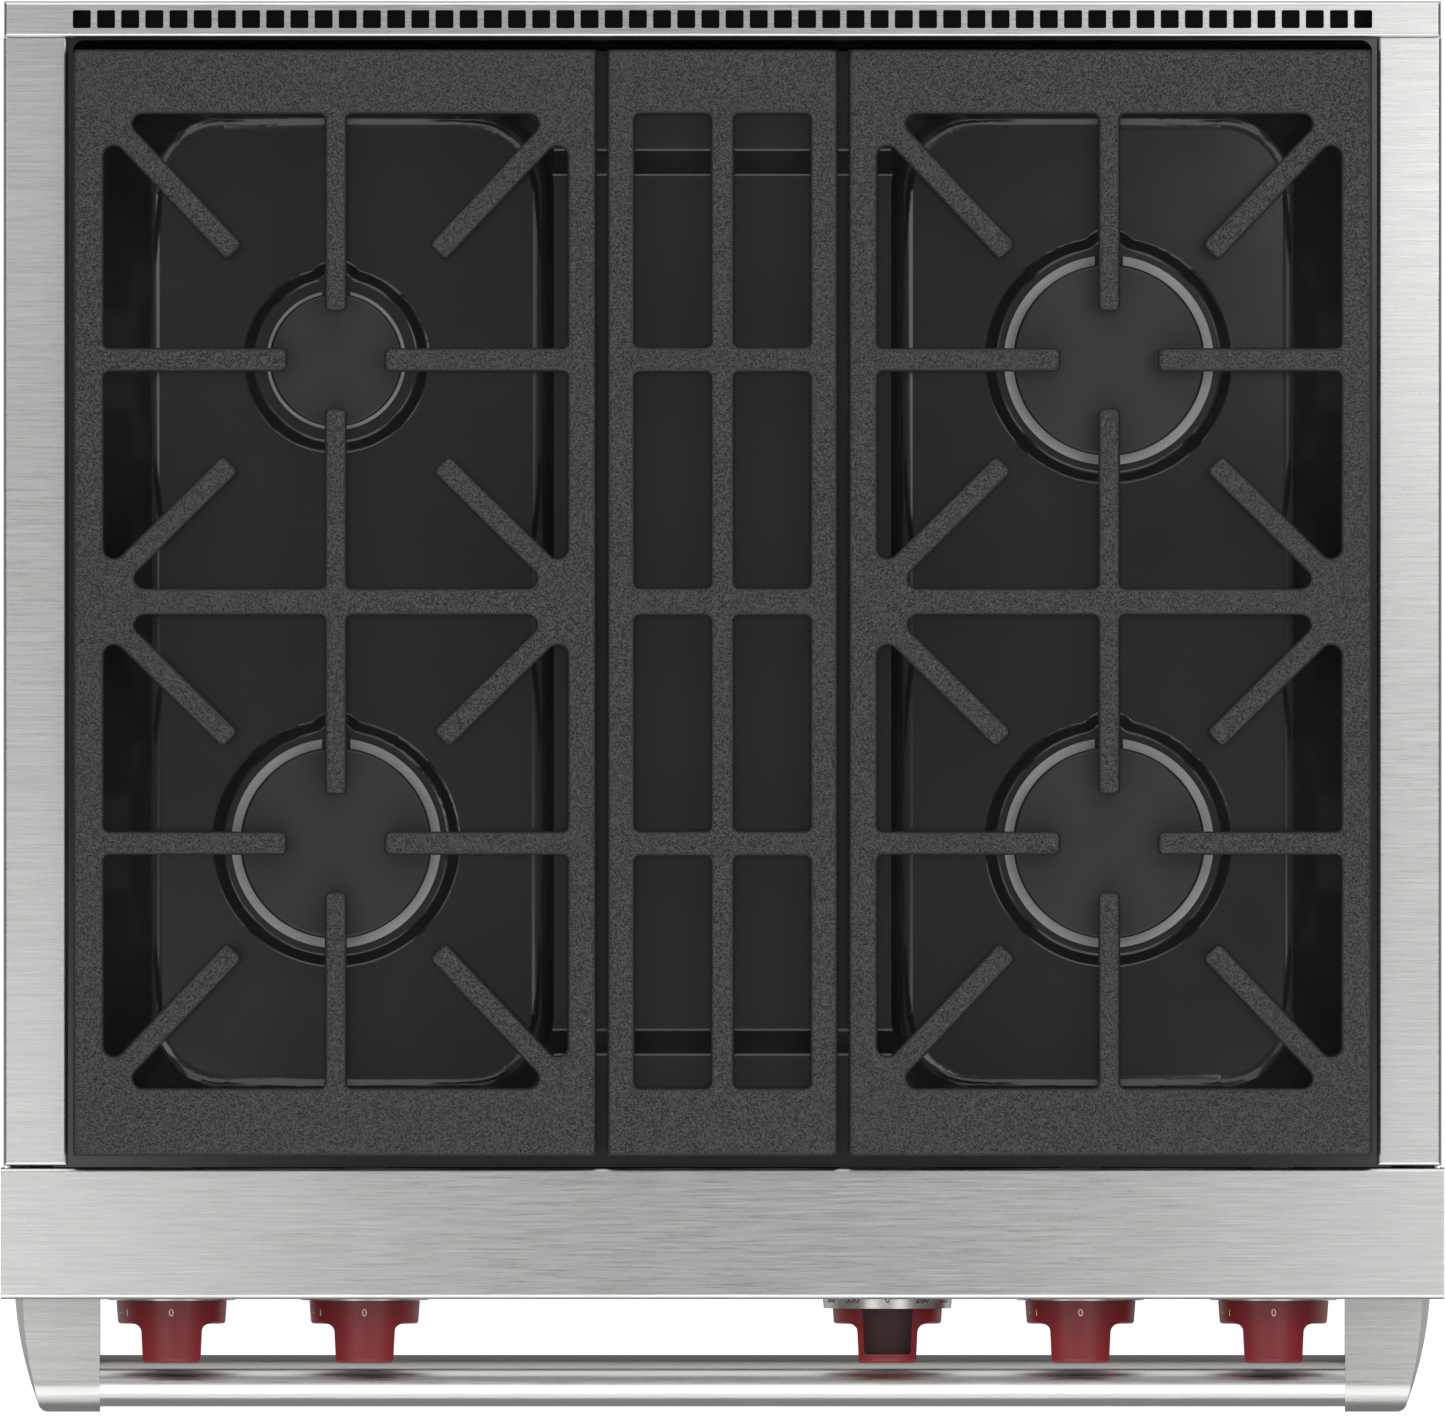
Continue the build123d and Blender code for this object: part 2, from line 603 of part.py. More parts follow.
def oven_cavity():
    """Enamelled liner, open at the front, with the front frame welded round its mouth."""
    frame_back = BODY_FRONT + SHEET
    liner = block((-MOUTH_X - SHEET, MOUTH_X + SHEET), (BODY_FRONT, CAVITY_BACK + SHEET),
                  (MOUTH_Z[0] - SHEET, MOUTH_Z[1] + SHEET))
    liner += block((-374, 374), (BODY_FRONT, frame_back), FRAME_Z)
    liner -= block((-MOUTH_X, MOUTH_X), (BODY_FRONT - 1, CAVITY_BACK), MOUTH_Z)
    liner -= rod((0, CAVITY_BACK - 1, FAN_Z), (0, CAVITY_BACK + 5, FAN_Z), 6.0)
    return liner - block((-55, 55), (218, 242), (MOUTH_Z[1] - 1, MOUTH_Z[1] + 5))


def door_gasket():
    """Square rope seal round the oven's mouth."""
    y = (BODY_FRONT - 5.7, BODY_FRONT)
    outer = block((-MOUTH_X - 16, MOUTH_X + 16), y, (MOUTH_Z[0] - 16, MOUTH_Z[1] + 16))
    return outer - block((-MOUTH_X - 6, MOUTH_X + 6), y, (MOUTH_Z[0] - 6, MOUTH_Z[1] + 6))


def oven_floor():
    """Removable floor over the bake burner, with heat slots along both sides."""
    x, y, top = MOUTH_X - 1.5, (-238, 222), 240.0
    floor = block((-x, x), y, (MOUTH_Z[0], top))
    floor -= block((-x + SHEET, x - SHEET), y, (MOUTH_Z[0] - 1, top - SHEET))
    slots = [
        Pos(side * 275, -190 + 60 * index, top - 5) * SlotOverall(40, 8, rotation=90)
        for side in (-1, 1) for index in range(7)
    ]
    return floor - extrude(Sketch() + slots, 10)


def oven_burners():
    """U-shaped bake burner under the floor and flat broil burner under the roof."""
    bake = tube([(OVEN_KNOB_X, CAVITY_BACK, 214), (OVEN_KNOB_X, -150, 214),
                 (-OVEN_KNOB_X, -150, 214), (-OVEN_KNOB_X, 180, 214)], 12, 30)
    roof = MOUTH_Z[1]
    broil = block((-190, 190), (-150, 150), (roof - 26, roof))
    broil -= block((-188, 188), (-148, 148), (roof - 27, roof - 2))
    for index in range(9):
        x = -160 + 40 * index
        broil += block((x - 1.5, x + 1.5), (-149, 149), (roof - 24, roof - 14))
    return bake, broil


def rack_guide():
    """Wire ladder on the right-hand wall that the racks slide on."""
    rail_x, post_x = 300.0, 304.0
    guide = [rod((rail_x, -215, z), (rail_x, 215, z), 2.5) for z in GUIDE_LEVELS]
    for y in (-190, 190):
        guide.append(rod((post_x, y, 278), (post_x, y, 604), 3.0))
        for z in (284, 598):
            guide.append(rod((post_x, y, z), (MOUTH_X, y, z), 2.0))
    return Part() + guide


def rack(z):
    """Wire rack whose side rails rest on the guides' rails at one level."""
    rail_x, front, back = 297.5, -225.0, 200.0
    level = z + 5.8
    frame = [rod((side * rail_x, front - 3, level), (side * rail_x, back + 3, level), 3.0)
             for side in (-1, 1)]
    frame += [rod((-rail_x, y, level), (rail_x, y, level), 2.6) for y in (front, back)]
    frame += [rod((-rail_x, y, level), (rail_x, y, level), 2.4) for y in (-80.0, 60.0)]
    count, pitch = 17, 33.0
    for index in range(count):
        x = (index - (count - 1) / 2) * pitch
        frame.append(rod((x, front, level), (x, back, level), 1.8))
    return Part() + frame


def fan_cover():
    """Steel cover over the convection fan, with an intake and two outlet slots."""
    x, z = (-170, 170), (FAN_Z - 150, FAN_Z + 150)
    front = 226.0
    cover = block(x, (front, CAVITY_BACK), z)
    cover = fillet(cover.edges().filter_by(Axis.Y), 20)
    cover -= block((x[0] + 2, x[1] - 2), (front + 2, CAVITY_BACK), (z[0] + 2, z[1] - 2))
    plane = front_plane(0, front + 5, FAN_Z)
    holes = [Circle(5)]
    for ring in (1, 2, 3):
        count = 6 * ring
        for index in range(count):
            angle = 2 * math.pi * index / count
            reach = 17 * ring
            holes.append(Pos(reach * math.cos(angle), reach * math.sin(angle)) * Circle(5))
    for side in (-1, 1):
        for row in range(7):
            holes.append(Pos(side * 130, (row - 3) * 34) * SlotOverall(44, 8))
    return cover - extrude(plane * (Sketch() + holes), 10)


def fan_wheel():
    """Bladed wheel and its shaft, which runs back through the oven's rear wall."""
    plane = front_plane(0, 258, FAN_Z)
    up = (Align.CENTER, Align.CENTER, Align.MIN)
    wheel = Cylinder(70, 2, align=up) + Cylinder(12, 16, align=up)
    for index in range(10):
        wheel += Rot(0, 0, 36 * index) * Pos(45, 0, 8) * Rot(0, 0, 20) * Box(46, 2, 16)
    shaft = Pos(0, 0, -50) * Cylinder(4.0, 52, align=up)
    return plane * (wheel + shaft)


def fan_motor():
    """Motor on a plate behind the oven's rear wall."""
    back = CAVITY_BACK + SHEET
    motor = rod((0, back + 12, FAN_Z), (0, back + 62, FAN_Z), 35)
    motor += block((-60, 60), (back + 10, back + 12), (FAN_Z - 45, FAN_Z + 45))
    for x in (-50, 50):
        for z in (FAN_Z - 36, FAN_Z + 36):
            motor += rod((x, back, z), (x, back + 11, z), 5)
    return motor - rod((0, back, FAN_Z), (0, back + 50, FAN_Z), 4.0 + FIT)


def oven_lamp():
    """Lamp lens on the oven's rear wall, right-hand side."""
    lamp = rod((240, CAVITY_BACK, 600), (240, CAVITY_BACK - 14, 600), 26)
    return fillet(lamp.edges().filter_by(GeomType.CIRCLE).sort_by(Axis.Y)[0], 6)


def flue_path(low, end, grow):
    """Inside of the flue, or its outside when grown by the sheet's thickness."""
    rise, run, mouth = (218 - grow, 242 + grow), (756 - grow, 780 + grow), (356 - grow, 368 + grow)
    x = (-55 - grow, 55 + grow)
    return (block(x, rise, (low, run[1])) + block(x, (rise[0], mouth[1]), run)
            + block(x, mouth, (run[0], end)))


def flue_duct():
    """Duct from the oven's roof back and up, ending below the pan's rear flange."""
    low, end = MOUTH_Z[1] + SHEET, DECK_TOP - 6
    return flue_path(low, end, SHEET) - flue_path(low - 1, end + 1, 0)


def make_oven():
    """Liner and everything in and round it."""
    save("oven_cavity", oven_cavity())
    save("door_gasket", door_gasket())
    save("oven_floor", oven_floor())
    save("oven_burners", *oven_burners())
    save("rack_guides", *both_sides(rack_guide))
    for name, z in RACK_Z.items():
        save(name, rack(z))
    save("fan_cover", fan_cover())
    save("fan_wheel", fan_wheel())
    save("fan_motor", fan_motor())
    save("oven_lamps", *both_sides(oven_lamp))
    save("flue_duct", flue_duct())


# ------------------------------------------------------------------ body

def side_panel():
    """Right-hand side sheet with a flange that carries the pan."""
    top = DECK_TOP - SHEET
    panel = block((SIDE_X - SHEET, SIDE_X), (BODY_FRONT, BACK - SHEET), (BASE_BOTTOM, top))
    return panel + block((TRIM_INNER_X, SIDE_X), (-230, 350), (top - SHEET, top))


def back_panel():
    """Rear sheet with louvres, a gas inlet cut-out and a hole for the cord's gland."""
    panel = block((-374, 374), (BACK - SHEET, BACK), (BASE_BOTTOM + 2, 874))
    panel -= block((INLET_X - 20, INLET_X + 20), (BACK - 5, BACK + 5),
                   (INLET_Z - 20, INLET_Z + 20))
    panel -= rod((-300, BACK - 5, 165), (-300, BACK + 5, 165), 8.0)
    slots = [
        Pos(x, FAN_Z - 70 + 20 * row) * SlotOverall(90, 6)
        for x in (-60, 60) for row in range(8)
    ]
    plane = front_plane(0, BACK + 1, 0)
    return panel - extrude(plane * (Sketch() + slots), 5)


def base_frame():
    """Welded tray at the bottom, with a threaded boss for each leg."""
    z = (BASE_BOTTOM, BASE_BOTTOM + 25)
    tray = block((-374, 374), (-240, BACK - SHEET), z)
    tray -= block((-372, 372), (-238, BACK - SHEET - 2), (z[0] + 2, z[1]))
    for x in (-LEG_X, LEG_X):
        for y in LEG_Y:
            tray += disc(x, y, (z[0], z[0] + 16), 13)
            tray -= disc(x, y, (z[0] - 1, z[1]), STUD_R + FIT)
    return tray


def kick_panel():
    """Folded toe-kick between the front legs."""
    panel = block((-374, 374), (-232, -218), (20, BASE_BOTTOM))
    return panel - block((-374 + SHEET, 374 - SHEET), (-232 + SHEET, -217),
                         (19, BASE_BOTTOM - SHEET))


def leg(x, y):
    """Levelling leg: a foot, a sleeve and the stud that screws into the base frame."""
    shape = disc(x, y, (0, 10), LEG_R + 5) + disc(x, y, (10, BASE_BOTTOM - 0.3), LEG_R)
    shape = chamfer(shape.edges().group_by(Axis.Z)[0], 1.0)
    return shape + disc(x, y, (BASE_BOTTOM - 1, BASE_BOTTOM + 45), STUD_R)


def make_body():
    """Outer sheets, base and legs."""
    save("side_panels", *both_sides(side_panel))
    save("back_panel", back_panel())
    save("base_frame", base_frame())
    save("kick_panel", kick_panel())
    for end, y in zip(("front", "rear"), LEG_Y):
        save(f"{end}_left_leg", leg(-LEG_X, y))
        save(f"{end}_right_leg", leg(LEG_X, y))


# ------------------------------------------------------------------ door

def hinge_slot(side, y):
    """Space cut in the door's lower edge round one hinge."""
    return block((side * (HINGE_X - 13), side * (HINGE_X + 13)), y, (DOOR_Z[0] - 1, 190))


def door_outer_panel():
    """Steel skin with folded sides and a window."""
    y = (DOOR_FRONT, -265.0)
    skin = block((-DOOR_X, DOOR_X), y, DOOR_Z)
    skin = fillet(skin.faces().sort_by(Axis.Y)[0].edges(), 3.0)
    skin -= block((-DOOR_X + SHEET, DOOR_X - SHEET), (DOOR_FRONT + SHEET, y[1]),
                  (DOOR_Z[0] + SHEET, DOOR_Z[1] - SHEET))
    for side in (-1, 1):
        skin -= hinge_slot(side, (-280, y[1]))
    window = front_plane(0, DOOR_FRONT + 5, sum(GLASS_Z) / 2) * RectangleRounded(
        2 * GLASS_X, GLASS_Z[1] - GLASS_Z[0], 12)
    return skin - extrude(window, 10)


def door_inner_panel():
    """Enamelled inner sheet with folded edges, a window and hinge slots."""
    x = DOOR_X - SHEET
    z = (DOOR_Z[0] + SHEET, DOOR_Z[1] - SHEET)
    sheet = block((-x, x), (-266, DOOR_REAR), z)
    sheet = fillet(sheet.faces().sort_by(Axis.Y)[-1].edges(), 3.0)
    sheet -= block((-x + SHEET, x - SHEET), (-266, DOOR_REAR - SHEET),
                   (z[0] + SHEET, z[1] - SHEET))
    for side in (-1, 1):
        sheet -= hinge_slot(side, (-270, -250))
    window = front_plane(0, -250, sum(GLASS_Z) / 2) * RectangleRounded(
        2 * GLASS_X, GLASS_Z[1] - GLASS_Z[0], 20)
    return sheet - extrude(window, 10)


def door_glass():
    """Outer and inner panes behind the two windows."""
    x = (-GLASS_X - 14, GLASS_X + 14)
    z = (GLASS_Z[0] - 14, GLASS_Z[1] + 14)
    outer = block(x, (DOOR_FRONT + SHEET, DOOR_FRONT + SHEET + 4), z)
    inner = block(x, (DOOR_REAR - SHEET - 4, DOOR_REAR - SHEET), z)
    return outer, inner


def bracket_outline(z, inset):
    """Plan outline of the right-hand handle bracket; the inset fades towards the nose."""
    front = -BACK
    root = (BRACKET_INNER_X, DOOR_FRONT)
    corner = 6.0
    side_root = (374.0 - inset, DOOR_FRONT)
    side_mid = (370.3 - inset * 0.6, -336.0)
    side_end = (361.5 - inset * 0.15, -367.0)
    nose = (361.5 - corner - inset * 0.15, front)
    lines = [
        Line(root, side_root),
        ThreePointArc(side_root, side_mid, side_end),
        ThreePointArc(side_end, (359.6 - inset * 0.15, -370.2), nose),
        Line(nose, (BRACKET_INNER_X, front)),
        Line((BRACKET_INNER_X, front), root),
    ]
    return Plane.XY.offset(z) * make_face(Curve() + lines)


def handle_bracket():
    """Right-hand bracket: flared at the door, with a round nose about the bar's axis."""
    core, edge, inset = 9.0, BRACKET_R, 4.6
    low, high = HANDLE_Z - core, HANDLE_Z + core
    body = extrude(bracket_outline(low, 0), 2 * core)
    body += loft([bracket_outline(high, 0), bracket_outline(HANDLE_Z + edge, inset)])
    body += loft([bracket_outline(HANDLE_Z - edge, inset), bracket_outline(low, 0)])
    x = (BRACKET_INNER_X - 1, 380)
    profile = block(x, (HANDLE_Y, DOOR_FRONT), (HANDLE_Z - edge, HANDLE_Z + edge))
    profile += rod((x[0], HANDLE_Y, HANDLE_Z), (x[1], HANDLE_Y, HANDLE_Z), edge)
    return body & profile


def hinge_arm():
    """Door side of the right-hand hinge, bored for the receiver's pin."""
    x = (HINGE_X - 4, HINGE_X + 4)
    arm = rod((x[0], HINGE_Y, HINGE_Z), (x[1], HINGE_Y, HINGE_Z), 7)
    arm += block(x, (HINGE_Y - 5, HINGE_Y + 4), (HINGE_Z, 260))
    arm += block(x, (HINGE_Y - 5, DOOR_REAR - SHEET), (200, 260))
    return arm - rod((x[0] - 1, HINGE_Y, HINGE_Z), (x[1] + 1, HINGE_Y, HINGE_Z), 4 + FIT)


def hinge_receiver():
    """Body side of the right-hand hinge: a plate, two ears and the pin."""
    ears = ((HINGE_X - 10, HINGE_X - 5), (HINGE_X + 5, HINGE_X + 10))
    receiver = block((ears[0][0], ears[1][1]), (BODY_FRONT - 3, BODY_FRONT), (147, 173))
    for x in ears:
        receiver += rod((x[0], HINGE_Y, HINGE_Z), (x[1], HINGE_Y, HINGE_Z), 6)
        receiver += block(x, (HINGE_Y, BODY_FRONT - 2), (HINGE_Z - 6, HINGE_Z + 6))
    return receiver + rod((ears[0][0], HINGE_Y, HINGE_Z), (ears[1][1], HINGE_Y, HINGE_Z), 4)


def make_door():
    """Door, its glass, handle and hinges."""
    save("door_outer_panel", door_outer_panel())
    save("door_inner_panel", door_inner_panel())
    save("door_glass", *door_glass())
    save("handle_bar", rod((-BRACKET_INNER_X, HANDLE_Y, HANDLE_Z),
                           (BRACKET_INNER_X, HANDLE_Y, HANDLE_Z), HANDLE_R))
    save("handle_brackets", *both_sides(handle_bracket))
    save("hinge_arms", *both_sides(hinge_arm))
    save("hinge_receivers", *both_sides(hinge_receiver))


make_cooktop()
make_controls()
make_oven()
make_body()
make_door()
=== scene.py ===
"""Looks for the freestanding gas range: materials, dial markings, studio."""
import math

import bmesh
import bpy
import json
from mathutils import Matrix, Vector


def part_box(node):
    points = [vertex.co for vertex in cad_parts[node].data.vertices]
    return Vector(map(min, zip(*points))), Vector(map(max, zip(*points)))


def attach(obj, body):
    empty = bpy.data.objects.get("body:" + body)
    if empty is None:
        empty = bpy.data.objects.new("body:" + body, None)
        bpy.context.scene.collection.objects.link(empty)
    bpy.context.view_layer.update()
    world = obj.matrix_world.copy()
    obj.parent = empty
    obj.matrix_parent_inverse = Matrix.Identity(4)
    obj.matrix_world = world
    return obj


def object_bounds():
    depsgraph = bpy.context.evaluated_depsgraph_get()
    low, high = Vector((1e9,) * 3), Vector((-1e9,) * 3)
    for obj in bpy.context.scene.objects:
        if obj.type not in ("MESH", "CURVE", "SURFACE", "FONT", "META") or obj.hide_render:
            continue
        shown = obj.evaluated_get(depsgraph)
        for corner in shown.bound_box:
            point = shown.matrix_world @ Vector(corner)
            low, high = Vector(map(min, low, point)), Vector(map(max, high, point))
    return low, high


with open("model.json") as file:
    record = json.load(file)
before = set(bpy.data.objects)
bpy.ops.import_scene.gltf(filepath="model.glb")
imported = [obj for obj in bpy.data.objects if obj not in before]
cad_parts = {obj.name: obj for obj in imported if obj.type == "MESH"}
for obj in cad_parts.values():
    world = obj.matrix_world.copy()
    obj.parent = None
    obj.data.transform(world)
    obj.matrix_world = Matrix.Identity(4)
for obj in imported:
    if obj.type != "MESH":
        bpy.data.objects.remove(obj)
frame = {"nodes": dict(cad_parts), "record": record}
cad_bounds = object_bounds()
nodes = frame["nodes"]
MM = 0.001
BURNER_NAMES = ("rear_left", "rear_right", "front_left", "front_right")
BODY_STEEL = (0.53, 0.525, 0.516)
BODY_ROUGHNESS = 0.29
PAN_REAR_FLANGE = 353 * MM    # the pan lies under the vent trim beyond this Y

# Markings. A taper is the change of radius per unit of Y.
FIGURE_HEIGHT = 4.0 * MM
KNOB_RADIUS = 29.1 * MM       # at the back of a knob's skirt
KNOB_TAPER = 0.075
KNOB_FIGURES_FROM_BACK = 6.0 * MM
RING_RADIUS = 34.2 * MM       # at the back of the oven knob's ring
RING_DEPTH = 10.7 * MM
RING_TAPER = 0.6 * MM / RING_DEPTH
RING_FIGURES_FROM_FRONT = 5.0 * MM


# ------------------------------------------------------------------ material helpers

class Mat:
    """A node material under construction, with short calls for the nodes that repeat."""

    def __init__(self, name):
        self.material = bpy.data.materials.new(name)
        self.material.use_nodes = True
        self.tree = self.material.node_tree
        self.shader = self.tree.nodes["Principled BSDF"]
        place = self.add("ShaderNodeTexCoord")
        self.coords, self.facing = place.outputs["Object"], place.outputs["Normal"]

    def add(self, kind, **settings):
        """New node with its properties and its unlinked inputs set."""
        node = self.tree.nodes.new(kind)
        for key, value in settings.items():
            if hasattr(node, key):
                setattr(node, key, value)
            else:
                node.inputs[key].default_value = value
        return node

    def link(self, source, target):
        self.tree.links.new(source, target)
        return target

    def set(self, **values):
        """Plain numbers and colours on the shader's own sockets."""
        for key, value in values.items():
            name = key.replace("_", " ")
            found = [s for s in self.shader.inputs if s.name.lower() == name.lower()]
            found[0].default_value = value
        return self

    def scaled(self, scale):
        """Object coordinates stretched along each axis, in cycles per metre."""
        node = self.add("ShaderNodeMapping")
        node.inputs["Scale"].default_value = scale
        self.link(self.coords, node.inputs["Vector"])
        return node.outputs["Vector"]

    def noise(self, scale, detail=2.0, rough=0.5):
        """Noise whose grain is given in cycles per metre along each axis."""
        node = self.add("ShaderNodeTexNoise")
        node.inputs["Scale"].default_value = 1.0
        node.inputs["Detail"].default_value = detail
        node.inputs["Roughness"].default_value = rough
        self.link(self.scaled(scale), node.inputs["Vector"])
        return node.outputs["Fac"]

    def cells(self, scale, output="Color"):
        """Voronoi cells of the given density per metre."""
        node = self.add("ShaderNodeTexVoronoi")
        node.inputs["Scale"].default_value = 1.0
        self.link(self.scaled(scale), node.inputs["Vector"])
        return node.outputs[output]

    def remap(self, source, low, high, start=0.3, end=0.7):
        """Value that runs from low to high as the source runs from start to end."""
        node = self.add("ShaderNodeMapRange")
        node.inputs["From Min"].default_value = start
        node.inputs["From Max"].default_value = end
        node.inputs["To Min"].default_value = low
        node.inputs["To Max"].default_value = high
        self.link(source, node.inputs["Value"])
        return node.outputs["Result"]

    def blend(self, factor, first, second):
        """Colour between two colours; each may be a tuple or a socket."""
        node = self.add("ShaderNodeMix", data_type="RGBA")
        sockets = [s for s in node.inputs if s.type == "RGBA"]
        for socket, value in zip(sockets, (first, second)):
            if isinstance(value, tuple):
                socket.default_value = (*value, 1.0)
            else:
                self.link(value, socket)
        if isinstance(factor, float):
            node.inputs["Factor"].default_value = factor
        else:
            self.link(factor, node.inputs["Factor"])
        return [s for s in node.outputs if s.type == "RGBA"][0]

    def colour(self, source):
        self.link(source, self.shader.inputs["Base Color"])
        return self

    def roughness(self, source):
        self.link(source, self.shader.inputs["Roughness"])
        return self

    def bump(self, source, height, strength=1.0):
        """Surface relief of a height in metres; calls stack."""
        node = self.add("ShaderNodeBump")
        node.inputs["Strength"].default_value = strength
        node.inputs["Distance"].default_value = height
        self.link(source, node.inputs["Height"])
        if self.shader.inputs["Normal"].is_linked:
            self.link(self.shader.inputs["Normal"].links[0].from_socket, node.inputs["Normal"])
        self.link(node.outputs["Normal"], self.shader.inputs["Normal"])
        return self


def brushed(name, colour, rough, along="x", contrast=0.15, relief=2.2e-6):
    """Steel brushed along one axis: fine strokes, longer ones and a faint mottle."""
    def stretch(grain, length):
        return tuple(length if axis == along else grain for axis in "xyz")
    mat = Mat(name).set(Metallic=1.0)
    fine = mat.noise(stretch(1700.0, 44.0), 3.0, 0.65)
    long = mat.noise(stretch(1000.0, 20.0), 2.0, 0.55)
    dark = tuple(c * (1 - contrast) for c in colour)
    light = tuple(min(1.0, c * (1 + contrast)) for c in colour)
    strokes = mat.blend(mat.remap(fine, 0, 1, 0.34, 0.66), dark, light)
    waves = mat.blend(mat.remap(long, 0, 1, 0.34, 0.66), dark, light)
    mat.colour(mat.blend(0.5, strokes, waves))
    mat.roughness(mat.remap(fine, rough - 0.05, rough + 0.07))
    mat.bump(fine, relief).bump(long, relief * 1.5)
    return mat.material


def spun(name, colour, rough):
    """Turned steel with faint rings, for bezels and stems."""
    mat = Mat(name).set(Metallic=1.0)
    grain = mat.noise((300.0, 2600.0, 300.0), 2.0)
    mat.colour(mat.blend(mat.remap(grain, 0, 1), tuple(c * 0.9 for c in colour), colour))
    mat.roughness(mat.remap(grain, rough - 0.04, rough + 0.05))
    return mat.bump(grain, 2e-6).material


def cast_enamel(name, dark, light, grain, relief, rough=0.72):
    """Matt enamel on a casting: fine speckle, and painted shade where the surface turns down."""
    mat = Mat(name)
    speckle = mat.noise((grain,) * 3, 1.5, 0.5)
    slow = mat.noise((9.0,) * 3, 2.0)
    middle = tuple((a + b) / 2 for a, b in zip(dark, light))
    tone = mat.blend(mat.remap(speckle, 0, 1, 0.36, 0.64), dark, light)
    tone = mat.blend(mat.remap(slow, 0.0, 0.2), tone, middle)
    split = mat.add("ShaderNodeSeparateXYZ")
    mat.link(mat.facing, split.inputs[0])
    # Painted shade: the colour darkens towards a third of the middle tone as the surface normal
    # turns from up to steep.
    turned_down_shade = mat.remap(split.outputs["Z"], 1, 0, 0.55, 0.95)
    mat.colour(mat.blend(turned_down_shade, tone, tuple(c * 0.35 for c in middle)))
    mat.roughness(mat.remap(speckle, rough - 0.1, rough + 0.1))
    mat.bump(speckle, relief)
    return mat.set(Specular_IOR_Level=0.35).material


def gloss_enamel(name, colour, matt_from, rough=0.1, peel=8e-6):
    """Poured enamel: deep gloss, a faint orange peel and a little smudging.

    The thin coat on the rear flange, beyond matt_from along Y, is matt.
    """
    mat = Mat(name)
    smudge = mat.noise((7.0,) * 3, 4.0, 0.6)
    ripple = mat.noise((130.0,) * 3, 1.0)
    mat.colour(mat.blend(mat.remap(smudge, 0, 1), tuple(c * 0.85 for c in colour), colour))
    split = mat.add("ShaderNodeSeparateXYZ")
    mat.link(mat.coords, split.inputs[0])
    matt = mat.add("ShaderNodeMath", operation="MAXIMUM")
    mat.link(mat.remap(smudge, rough, rough + 0.07), matt.inputs[0])
    mat.link(mat.remap(split.outputs["Y"], 0, 0.95, matt_from, matt_from + 0.001),
             matt.inputs[1])
    mat.roughness(matt.outputs[0])
    return mat.bump(ripple, peel).material


def cap_enamel():
    """Semi-matt burner cap, with heat bloom in soft patches."""
    mat = Mat("cap_enamel")
    bloom = mat.noise((28.0,) * 3, 3.0, 0.6)
    grit = mat.noise((1800.0,) * 3, 2.0)
    mat.colour(mat.blend(mat.remap(bloom, 0, 1), (0.012, 0.012, 0.012), (0.0195, 0.0195, 0.0197)))
    mat.roughness(mat.remap(bloom, 0.38, 0.55))
    return mat.bump(grit, 6e-6).material


def cast_alloy():
    """Sand-cast aluminium, greyed by heat."""
    mat = Mat("burner_alloy").set(Metallic=0.85)
    grit = mat.noise((1400.0,) * 3, 3.0, 0.65)
    stain = mat.noise((45.0,) * 3, 2.0)
    tone = mat.blend(mat.remap(grit, 0, 1), (0.33, 0.33, 0.33), (0.46, 0.46, 0.455))
    mat.colour(mat.blend(mat.remap(stain, 0.0, 0.4), tone, (0.30, 0.285, 0.27)))
    mat.roughness(mat.remap(grit, 0.42, 0.6))
    return mat.bump(grit, 2e-5).material


def knob_red():
    """Satin red moulding with a very fine spark texture, and painted shade in its hollows."""
    mat = Mat("knob_red").set(Specular_IOR_Level=0.55)
    grit = mat.noise((2600.0,) * 3, 2.0)
    slow = mat.noise((40.0,) * 3, 2.0)
    red = mat.blend(mat.remap(slow, 0, 1), (0.200, 0.0085, 0.014), (0.245, 0.0105, 0.018))
    # Painted shade: ambient occlusion darkens the red towards near black in hollows and where
    # parts meet.
    recess_shade = mat.add("ShaderNodeAmbientOcclusion", Distance=0.03)
    mat.colour(mat.blend(mat.remap(recess_shade.outputs["AO"], 0, 1, 0.25, 0.95),
                         (0.045, 0.004, 0.005), red))
    mat.roughness(mat.remap(grit, 0.34, 0.44))
    return mat.bump(grit, 6e-6).material


def speckled_enamel(name, ground, flecks):
    """Oven enamel: dark ground with small pale flecks."""
    mat = Mat(name)
    cells = mat.cells((420.0,) * 3, "Distance")
    pick = mat.noise((260.0,) * 3, 1.0)
    fleck = mat.remap(cells, 1.0, 0.0, 0.10, 0.16)
    chance = mat.remap(pick, 0.0, 1.0, 0.52, 0.56)
    both = mat.add("ShaderNodeMath", operation="MULTIPLY")
    mat.link(fleck, both.inputs[0])
    mat.link(chance, both.inputs[1])
    mat.colour(mat.blend(both.outputs[0], ground, flecks))
    ripple = mat.noise((120.0,) * 3, 1.0)
    mat.roughness(mat.remap(ripple, 0.16, 0.26))
    return mat.bump(ripple, 1e-5).material


def galvanised():
    """Zinc-coated sheet with spangles."""
    mat = Mat("galvanised").set(Metallic=0.95)
    cells = mat.cells((150.0,) * 3)
    grey = mat.add("ShaderNodeRGBToBW")
    mat.link(cells, grey.inputs[0])
    tone = mat.blend(mat.remap(grey.outputs[0], 0, 1, 0.2, 0.8), (0.45, 0.46, 0.47),
                     (0.55, 0.56, 0.57))
    mat.colour(tone)
    mat.roughness(mat.remap(grey.outputs[0], 0.34, 0.52, 0.2, 0.8))
    return mat.bump(mat.noise((300.0,) * 3, 2.0), 1e-5).material


